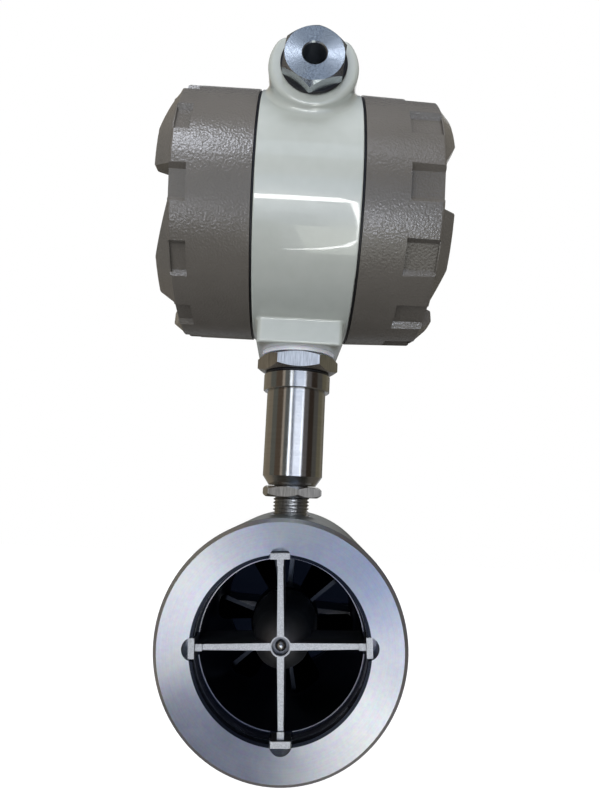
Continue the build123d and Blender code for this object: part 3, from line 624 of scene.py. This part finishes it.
# %% Enamelled copper wire
wire_d = 0.2 * mm
turn_depth = 0.08 * mm       # how far the dips between turns go in
coil_wire, tree, shader, place = start_material("enamelled_copper_wire")
turns = add_node(tree, "ShaderNodeTexWave",
                 {"Vector": place, "Scale": wave_period / wire_d}, bands_direction="Z")
relief = add_node(tree, "ShaderNodeBump",
                  {"Height": turns.outputs["Fac"], "Strength": 0.5, "Distance": turn_depth})
fill(tree, shader, {
    "Base Color": linear("#A4562B"), "Metallic": 1.0, "Roughness": 0.3,
    "Normal": relief.outputs["Normal"]})
dress(coil_wire, "pickup_coil")
print("wire", wire_d / mm, "mm thick")

# %% [markdown]
# The pickup screws into the body on an M16 thread with a 1.5 mm pitch. The frame
# holds it as a plain cylinder. A screw modifier could wind a profile round the
# axis, but its ends would stay open and sharp. Here the mesh is a grid of rings
# whose radius follows the groove, so the thread can fade out at both ends.

# %% Thread sizes
thread_r = 8.0 * mm
thread_pitch = 1.5 * mm
thread_depth = 0.85 * mm
root_r = thread_r - thread_depth
crest_share = 0.10           # share of the pitch that is flat crest
flank_share = 0.78           # share that slopes, so the rest is flat root
housing_bore_r = 5.8 * mm
housing_floor_t = 1.5 * mm
columns = 96
rows_per_turn = 10
thread_low, thread_top = (corner.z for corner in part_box("pickup_housing"))
thread_length = thread_top - thread_low
angles = [2 * pi * column / columns for column in range(columns)]


def thread_radius(angle, height):
    """Radius of the thread at an angle and height. The groove fades out at both ends."""
    phase = (height / thread_pitch - angle / (2 * pi)) % 1.0
    slope = min(max((abs(2 * phase - 1) - crest_share) / flank_share, 0.0), 1.0)
    fade = min(1.0, (height - thread_low) / thread_pitch, (thread_top - height) / thread_pitch)
    return root_r + fade * thread_depth * (1 - slope)


print("thread turns:", round(thread_length / thread_pitch, 1))

# %% [markdown]
# The rings run up the outside, over the top edge and down the inside to the
# housing's floor. Neighbouring rings are joined by faces, and the first and last
# ones are closed, so the piece is a solid cup like the real housing.

# %% Pickup thread
def add_ring(mesh, height, radii):
    """One ring of vertices at a height, with a radius for each angle."""
    return [mesh.verts.new((r * cos(angle), r * sin(angle), height))
            for angle, r in zip(angles, radii)]


thread = bmesh.new()
row_count = int(thread_length / thread_pitch * rows_per_turn)
rings = []
for row in range(row_count + 1):
    height = thread_low + thread_length * row / row_count
    rings.append(add_ring(thread, height, [thread_radius(angle, height) for angle in angles]))
for height in (thread_top, thread_low + housing_floor_t):
    rings.append(add_ring(thread, height, [housing_bore_r] * columns))
for first, second in zip(rings, rings[1:]):
    for column in range(columns):
        after = (column + 1) % columns
        thread.faces.new((first[column], first[after], second[after], second[column]))
thread.faces.new(list(reversed(rings[0])))
thread.faces.new(rings[-1])
bmesh.ops.recalc_face_normals(thread, faces=thread.faces)
thread_mesh = bpy.data.meshes.new("pickup_thread")
thread.to_mesh(thread_mesh)
thread.free()
print("thread faces:", len(thread_mesh.polygons))

# %% [markdown]
# The thread takes the nut's steel, rides on the housing, and stands for the CAD
# piece, which stays in the physics. A cut thread has slightly rounded crests, so
# only turns sharper than 50 degrees are shaded as crisp edges.

# %% Thread in place
crest_angle = 50             # degrees
thread_mesh.materials.append(nut_stainless)
thread_mesh.shade_smooth()
thread_mesh.set_sharp_from_angle(angle=radians(crest_angle))
pickup_thread = bpy.data.objects.new("pickup_thread", thread_mesh)
bpy.context.scene.collection.objects.link(pickup_thread)
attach(pickup_thread, "housing")
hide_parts("pickup_housing")
print("pickup thread rides on the housing")

# %% [markdown]
# The camera stands where the photograph was taken from: close in front of the
# inlet, a little above the pipe's axis, and looking slightly up at the head. Its
# place, angles and lens were found by matching the outlines of the body, the
# neck and the head. The angles are turned into the camera's own three axes.

# %% Camera
camera_place = Vector((7.509, -264.013, 54.332)) * mm
camera_yaw = -0.0216         # radians, as the next two are
camera_pitch = 0.1572
camera_roll = 0.0469
lens_mm = 26.23
sensor_mm = 36.0
forward = Vector((sin(camera_yaw) * cos(camera_pitch), cos(camera_yaw) * cos(camera_pitch),
                  sin(camera_pitch)))
level = Vector((cos(camera_yaw), -sin(camera_yaw), 0.0))
lift = level.cross(forward)
right = cos(camera_roll) * level + sin(camera_roll) * lift
up = cos(camera_roll) * lift - sin(camera_roll) * level
camera = bpy.data.objects.new("camera", bpy.data.cameras.new("camera"))
bpy.context.scene.collection.objects.link(camera)
turn = Matrix((right, up, -forward)).transposed().to_4x4()
camera.matrix_world = Matrix.Translation(camera_place) @ turn
camera.data.sensor_width = sensor_mm
camera.data.lens = lens_mm
camera.data.clip_start = 10 * mm
bpy.context.scene.camera = camera
print("camera", [round(value / mm) for value in camera_place], "mm, lens", lens_mm, "mm")

# %% [markdown]
# The world is white to the camera, to mirrors and through glass, and gives the
# rest of the scene a dimmer even light. One strength can't do both, since a world
# bright enough for a white background would bleach the paint. So the kind of ray
# chooses between two backgrounds.

# %% World
room_light = 0.56
world = bpy.data.worlds.new("studio")
bpy.context.scene.world = world
world.use_nodes = True
tree = world.node_tree
tree.nodes.clear()
rays = add_node(tree, "ShaderNodeLightPath").outputs
seen = add_node(tree, "ShaderNodeMath",
                {0: rays["Is Camera Ray"], 1: rays["Is Glossy Ray"]}, operation="MAXIMUM")
shown = add_node(tree, "ShaderNodeMath",
                 {0: seen.outputs["Value"], 1: rays["Is Transmission Ray"]}, operation="MAXIMUM")
room = add_node(tree, "ShaderNodeBackground", {"Color": linear("#F1F3F6"), "Strength": room_light})
white = add_node(tree, "ShaderNodeBackground", {"Color": linear("#FFFFFF"), "Strength": 1.0})
either = add_node(tree, "ShaderNodeMixShader",
                  {"Fac": shown.outputs["Value"], 1: room.outputs["Background"],
                   2: white.outputs["Background"]})
add_node(tree, "ShaderNodeOutputWorld", {"Surface": either.outputs["Shader"]})
print("world strength", room_light, "and 1 where it is seen")

# %% [markdown]
# A pale floor lies well below the meter and takes its shadow. Its own grey is
# fairly dark, because a white floor would light the underside of the head far
# more than in the photograph. For the camera alone it also glows, less so under
# the meter, so that the background comes out white and the shadow stays. The
# weaker glow also paints a soft grey disc under the meter, a painted shade.

# %% Floor
floor_drop = 260 * mm
floor_size = 6.0
dim_disc_reach = 0.25          # metres from the middle, as the next one is
white_from = 0.7
dim_disc_glow, white_glow = 0.52, 0.9
floor_material, tree = empty_material("pale_floor")
matt = add_node(tree, "ShaderNodeBsdfPrincipled",
                {"Base Color": linear("#B4B4B4"), "Roughness": 0.9})
place = add_node(tree, "ShaderNodeTexCoord").outputs["Object"]
rays = add_node(tree, "ShaderNodeLightPath").outputs
away = add_node(tree, "ShaderNodeVectorMath", {0: place}, operation="LENGTH")
# The glow is dimmer near the middle, which paints a grey disc there, a painted shade.
fade = add_node(tree, "ShaderNodeMapRange",
                {"Value": away.outputs["Value"], "From Min": dim_disc_reach, "From Max": white_from,
                 "To Min": dim_disc_glow, "To Max": white_glow})
seen_glow = add_node(tree, "ShaderNodeMath",
                     {0: rays["Is Camera Ray"], 1: fade.outputs["Result"]}, operation="MULTIPLY")
glow = add_node(tree, "ShaderNodeEmission",
                {"Color": linear("#FFFFFF"), "Strength": seen_glow.outputs["Value"]})
both = add_node(tree, "ShaderNodeAddShader", {0: matt.outputs["BSDF"], 1: glow.outputs["Emission"]})
add_node(tree, "ShaderNodeOutputMaterial", {"Surface": both.outputs["Shader"]})
floor_z = cad_box[0].z - floor_drop
bpy.ops.mesh.primitive_plane_add(size=floor_size, location=(0, 0, floor_z))
floor = bpy.context.object
floor.name = "floor"
floor.data.materials.append(floor_material)
print("floor at Z", round(floor_z / mm), "mm")

# %% [markdown]
# In the photograph the meter lies on its outlet face, so hardly any light comes
# through the bore. A plain dark card, flat against that face, stands in for the
# table top, and its dark colour is painted shade for the bore. A trace of painted
# glow gives the blue that shows deep in the bore. It is clear from behind, so the
# outlet can be looked into from the other side.

# %% Card behind the outlet
card_gap = 0.4 * mm
card_r = 40 * mm
card_sides = 64
card_material, tree = empty_material("dark_card")
# The card's dark colour is painted shade, and its faint emission is a painted glow.
dark = add_node(tree, "ShaderNodeBsdfPrincipled",
                {"Base Color": linear("#131826"), "Roughness": 0.8,
                 "Emission Color": linear("#060912"), "Emission Strength": 1.0})
behind = add_node(tree, "ShaderNodeNewGeometry").outputs["Backfacing"]
clear = add_node(tree, "ShaderNodeBsdfTransparent")
one_way = add_node(tree, "ShaderNodeMixShader",
                   {"Fac": behind, 1: dark.outputs["BSDF"], 2: clear.outputs["BSDF"]})
add_node(tree, "ShaderNodeOutputMaterial", {"Surface": one_way.outputs["Shader"]})
outlet_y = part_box("meter_body")[1].y
bpy.ops.mesh.primitive_circle_add(vertices=card_sides, radius=card_r, fill_type="NGON",
                                  location=(0, outlet_y + card_gap, 0), rotation=(pi / 2, 0, 0))
card = bpy.context.object
card.name = "outlet_card"
card.data.materials.append(card_material)
print("card radius", card_r / mm, "mm")

# %% [markdown]
# Soft panels on all sides light the paint evenly, at a level where a colour comes
# out about as it is written. They are area lamps, since a large lamp gives soft
# shadows. They are hidden from mirrors, because what metal mirrors is set apart
# from that further down. Each has a name, its place, the point it faces, its
# width and height in metres, its power in watts and its colour.

# %% Soft panels
head_middle = (0.0, 0.0, 0.18)
body_middle = (0.0, 0.0, 0.04)


def add_panel(name, place, target, width, height, power, colour):
    """Rectangular soft light that faces a target and leaves no reflection."""
    light = bpy.data.lights.new(name, "AREA")
    light.shape = "RECTANGLE"
    light.size = width
    light.size_y = height
    light.energy = power
    light.color = linear(colour)[:3]
    panel = bpy.data.objects.new(name, light)
    bpy.context.scene.collection.objects.link(panel)
    panel.location = place
    aim = Vector(target) - Vector(place)
    panel.rotation_euler = aim.to_track_quat("-Z", "Y").to_euler()
    panel.visible_glossy = False
    panel.visible_camera = False
    return panel


add_panel("front_panel", (-0.25, -0.95, 0.30), head_middle, 0.7, 0.7, 4.5, "#FDFDFF")
add_panel("top_panel", (0.1, -0.25, 1.10), head_middle, 0.6, 0.6, 7.0, "#EFF2FF")
add_panel("left_panel", (-0.95, -0.3, 0.25), body_middle, 0.5, 0.9, 1.2, "#F4F7FF")
add_panel("right_panel", (0.95, -0.3, 0.25), body_middle, 0.5, 0.9, 0.6, "#FFFBF5")

# %% [markdown]
# Metal looks like metal because of what it mirrors. In the photograph that is a
# bright window behind the camera, dim walls left and right, and a table. Glowing
# cards stand in for them, which is simpler than a furnished room. Only
# reflections can see the cards, so they neither light the paint nor cast shadows.

# %% Mirror cards
def show_in_mirrors_only(card):
    """Hides a card from the camera, from soft light and from shadows."""
    card.visible_camera = False
    card.visible_diffuse = False
    card.visible_shadow = False
    card.visible_transmission = False


def glowing(name, colour, strength):
    """Material that gives off an even light."""
    material, tree = empty_material(name)
    glow = add_node(tree, "ShaderNodeEmission", {"Color": linear(colour), "Strength": strength})
    add_node(tree, "ShaderNodeOutputMaterial", {"Surface": glow.outputs["Emission"]})
    return material


def add_card(name, corners, colour, strength=1.0):
    """Flat card between its corners, given in metres."""
    mesh = bpy.data.meshes.new(name)
    mesh.from_pydata(corners, [], [tuple(range(len(corners)))])
    mesh.materials.append(glowing(name, colour, strength))
    card = bpy.data.objects.new(name, mesh)
    bpy.context.scene.collection.objects.link(card)
    show_in_mirrors_only(card)
    return card


print("cards are seen in mirrors only")

# %% [markdown]
# Most cards stand upright across the view or lie level. A plane could be scaled
# and turned for each, but two helpers that take the ranges a card spans let
# neighbouring cards share an edge exactly.

# %% Upright and level cards
def upright_card(name, x_range, y, z_range, colour, strength=1.0):
    """Card that stands across the view at one Y."""
    (x0, x1), (z0, z1) = x_range, z_range
    return add_card(name, [(x0, y, z0), (x1, y, z0), (x1, y, z1), (x0, y, z1)], colour, strength)


def level_card(name, x_range, y_range, z, colour, strength=1.0):
    """Ceiling, table or sheet at one Z."""
    (x0, x1), (y0, y1) = x_range, y_range
    return add_card(name, [(x0, y0, z), (x1, y0, z), (x1, y1, z), (x0, y1, z)], colour, strength)


print("card helpers ready, in metres")

# %% [markdown]
# The side walls give the neck its stripes. A round tube mirrors the whole wall
# squeezed into a few millimetres, so each stripe on the steel is one upright
# strip of wall, as dark or light as the stripe is in the photograph.

# %% Walls, ceiling and table
room_left, room_right = -0.41, 0.56
room_front, room_back = -0.96, 1.0
room_floor, room_top = -0.30, 1.3
across = (room_left, room_right)
table_near = -0.42           # Y where the open table starts in front of the meter


def side_wall(name, x, stripes):
    """Wall at one X, in upright stripes. Each stripe is the Y where it ends, and its colour."""
    start = room_front
    for number, (end, colour) in enumerate(stripes):
        corners = [(x, start, room_floor), (x, end, room_floor), (x, end, room_top),
                   (x, start, room_top)]
        add_card(name + "_" + str(number), corners, colour)
        start = end


side_wall("left_wall", room_left, [
    (-0.50, "#6A6C6A"), (-0.37, "#BCB0A2"), (-0.12, "#605347"), (0.06, "#6A6A63"),
    (0.35, "#8D8271"), (room_back, "#8F8674")])
side_wall("right_wall", room_right, [
    (-0.42, "#6E6A6A"), (-0.13, "#3B322B"), (0.10, "#5B5955"), (0.40, "#746E5C"),
    (room_back, "#857F70")])
level_card("dim_ceiling", across, (room_front, room_back), room_top, "#50545A")
level_card("table_below", across, (table_near, room_back), room_floor, "#66615B")
print("room", round(room_right - room_left, 2), "m wide")

# %% [markdown]
# The flat end face mirrors what is behind the camera. Its bright left, blue upper
# right and dark lower left are parts of one window and of the table under it, so
# the window is built from panes of different colour and strength.

# %% Window and table behind the camera
window_low, window_top = 0.02, 0.42
pane_left, pane_right = -0.15, 0.10
sill_top = -0.15
dark_front = -0.80           # Y where the dark part of the table starts
sheet_left, sheet_right = 0.03, 0.30
upright_card("window_left", (room_left, pane_left), room_front, (window_low, window_top),
             "#FBFFFB", 1.1)
upright_card("window_right", (pane_left, room_right), room_front, (window_low, window_top),
             "#A6C4F0", 1.05)
upright_card("low_window_left", (room_left, pane_left), room_front, (room_floor, window_low),
             "#F7FAFF", 2.2)
upright_card("low_window_middle", (pane_left, pane_right), room_front, (room_floor, window_low),
             "#B2BEDC")
upright_card("low_window_right", (pane_right, room_right), room_front, (sill_top, window_low),
             "#C0D6FF", 1.15)
upright_card("window_sill", (pane_right, room_right), room_front, (room_floor, sill_top),
             "#F2F8FF", 1.7)
upright_card("upper_wall", across, room_front, (window_top, room_top), "#50545A")
upright_card("far_bar", across, room_back, (-0.02, 0.40), "#63605A")
dark_corner = [(-0.026, -0.17), (-0.30, room_floor), (0.0, room_floor), (0.0, -0.17)]
add_card("dark_corner", [(x, dark_front, z) for x, z in dark_corner], "#120E0B")
level_card("table_dark", (room_left, 0.0), (dark_front, table_near), room_floor, "#241F1C")
level_card("table_edge", (0.0, sheet_left), (room_front, table_near), room_floor, "#989AA8")
level_card("table_sheet", (sheet_left, sheet_right), (room_front, table_near), room_floor,
           "#FCFFF6", 2.15)
print("window top", window_top, "m above the flow axis")

# %% [markdown]
# The real room holds small lamps that each piece mirrors in one place only. As
# plain cards they would also show where the photograph has nothing. Light linking
# solves that: a lamp or card gets a collection of pieces, and lights only those.
# The first is a bar in front of the head. The ceiling between the lamps is a
# plain card, since every piece mirrors it.

# %% Lights for single pieces
glint_colour = "#EEF3FF"
white_power = 4.0            # watts per square metre at which a lamp looks white


def keep_to(light, *names):
    """Lets a lamp or card light only these pieces, CAD ones or the wound thread."""
    pieces = bpy.data.collections.new(light.name + "_pieces")
    for name in names:
        pieces.objects.link(nodes[name] if name in nodes else bpy.data.objects[name])
    light.light_linking.receiver_collection = pieces


def add_glint(name, x_range, y, z_range, target, radiance, names, colour=glint_colour):
    """Small lamp that only leaves a highlight, on the named pieces. A radiance of 1 is white."""
    (x0, x1), (z0, z1) = x_range, z_range
    width, height = x1 - x0, z1 - z0
    power = white_power * radiance * width * height
    lamp = add_panel(name, ((x0 + x1) / 2, y, (z0 + z1) / 2), target, width, height, power, colour)
    lamp.visible_glossy = True
    lamp.visible_diffuse = False
    keep_to(lamp, *names)


front_bar = upright_card("front_bar", (-0.17, 0.25), -0.40, (0.06, 0.17), "#DCE8FF", 1.3)
keep_to(front_bar, "head_body", "left_cover", "right_cover", "neck_adapter", "cable_gland")
ceiling_y, ceiling_z = -0.95, (0.77, 1.15)
upright_card("ceiling_between", (-0.34, 0.36), ceiling_y, ceiling_z, "#AAB5C8", 1.75)
print("front bar lights five pieces")

# %% [markdown]
# Two ceiling lights draw the soft bands near the tops of the covers, and two
# more the fans of light on the gland. The last two stand near the camera and
# glint on the covers' lower lobes. Each row holds a name, the lamp's X range, its
# Y, its Z range, the point it faces, its radiance and the pieces it lights.

# %% Highlights on the head
gland_z = (0.85, 1.05)
head_glints = [
    ("left_ceiling_light", (-0.37, -0.16), ceiling_y, ceiling_z, head_middle, 20.0,
     ["left_cover"]),
    ("right_ceiling_light", (0.19, 0.36), ceiling_y, ceiling_z, head_middle, 4.6,
     ["right_cover"]),
    ("gland_light_left", (-0.34, -0.16), ceiling_y, gland_z, head_middle, 5.0, ["cable_gland"]),
    ("gland_light_right", (0.22, 0.36), ceiling_y, gland_z, head_middle, 5.0, ["cable_gland"]),
    ("right_side_light", (0.085, 0.125), -0.40, (0.0, 0.08), head_middle, 22.0, ["right_cover"]),
    ("left_side_light", (-0.16, -0.09), -0.40, (0.0, 0.09), head_middle, 6.0, ["left_cover"]),
]
for glint in head_glints:
    add_glint(*glint)
print("highlights on the head:", len(head_glints))

# %% [markdown]
# The polished neck mirrors a strip light in front of it as one bright stripe with
# two brighter edges, so that light is made of three lamps side by side. The
# thread, the nut and the adapter are duller and turned other ways, and have lamps
# of their own. The nut's rows end with a colour.

# %% Highlights on the neck
thread_middle = (0.0, 0.0, 0.05)
neck_middle = (0.0, 0.0, 0.08)
strip_y, strip_z = -0.39, (0.04, 0.18)
nut_colour = "#F6F8FF"
neck_glints = [
    ("neck_light_left", (-0.145, -0.09), strip_y, strip_z, neck_middle, 2.6, ["neck_tube"]),
    ("neck_light_middle", (-0.09, 0.20), strip_y, strip_z, neck_middle, 1.7, ["neck_tube"]),
    ("neck_light_right", (0.20, 0.25), strip_y, strip_z, neck_middle, 2.4, ["neck_tube"]),
    ("adapter_light", (-0.12, 0.22), strip_y, (0.08, 0.26), neck_middle, 0.9, ["neck_adapter"]),
    ("thread_light", (-0.145, 0.25), -0.395, (0.0, 0.20), thread_middle, 6.0, ["pickup_thread"]),
    ("nut_light_left", (-0.40, -0.28), -0.60, (-0.1, 0.25), neck_middle, 0.55, ["lock_nut"],
     nut_colour),
    ("nut_light_right", (0.30, 0.60), -0.03, (-0.1, 0.2), neck_middle, 0.4, ["lock_nut"],
     nut_colour),
]
for glint in neck_glints:
    add_glint(*glint)
print("highlights on the neck:", len(neck_glints))

# %% [markdown]
# Two narrow lamps give the end face its streaks above the bore, which its turned
# grooves draw out from the middle. A last lamp lights the front of the guide.

# %% Highlights on the body
guide_middle = (0.0, 0.0, 0.0)
body_glints = [
    ("left_streak", (-0.125, -0.10), -0.95, (0.05, 0.20), body_middle, 10.0, ["meter_body"]),
    ("right_streak", (0.125, 0.15), -0.95, (0.05, 0.20), body_middle, 5.0, ["meter_body"]),
    ("guide_light", (-0.15, 0.15), -0.70, (-0.25, -0.05), guide_middle, 2.0,
     ["inlet_guide", "inlet_dome_screw"]),
]
for glint in body_glints:
    add_glint(*glint)
print("highlights on the body:", len(body_glints))

# %% [markdown]
# The enamel mirrors the rim of a lamp as a thin bright line that turns a corner
# and comes back. No straight card gives that, so the rim is a bent ribbon: a row
# of points with a width at each, joined by faces. Each point is X, Z and half the
# ribbon's width, in metres.

# %% Rim of the lamp
rim_points = [(-0.20, 0.145, 0.013), (0.055, 0.145, 0.011), (0.066, 0.136, 0.004),
              (0.0750, 0.02, 0.0018), (0.0822, -0.105, 0.0018), (0.072, -0.165, 0.005),
              (0.0443, -0.212, 0.007), (0.0, -0.235, 0.003)]
rim_y = -0.395
rim_strength = 15.0
rim = bmesh.new()
edges = []
for number, (x, z, half) in enumerate(rim_points):
    before = Vector(rim_points[max(number - 1, 0)][:2])
    after = Vector(rim_points[min(number + 1, len(rim_points) - 1)][:2])
    sideways = (after - before).normalized().orthogonal() * half
    edges.append([rim.verts.new((x + side * sideways.x, rim_y, z + side * sideways.y))
                  for side in (-1, 1)])
for first, second in zip(edges, edges[1:]):
    rim.faces.new((first[0], second[0], second[1], first[1]))
rim_mesh = bpy.data.meshes.new("lamp_rim")
rim.to_mesh(rim_mesh)
rim.free()
rim_mesh.materials.append(glowing("lamp_rim", "#FFFFFF", rim_strength))
lamp_rim = bpy.data.objects.new("lamp_rim", rim_mesh)
bpy.context.scene.collection.objects.link(lamp_rim)
show_in_mirrors_only(lamp_rim)
keep_to(lamp_rim, "head_body")
print("rim ribbon of", len(rim_points), "points")

# %% [markdown]
# The last step sets the plain view transform.

# %% Finish
bpy.context.scene.view_settings.view_transform = "Standard"
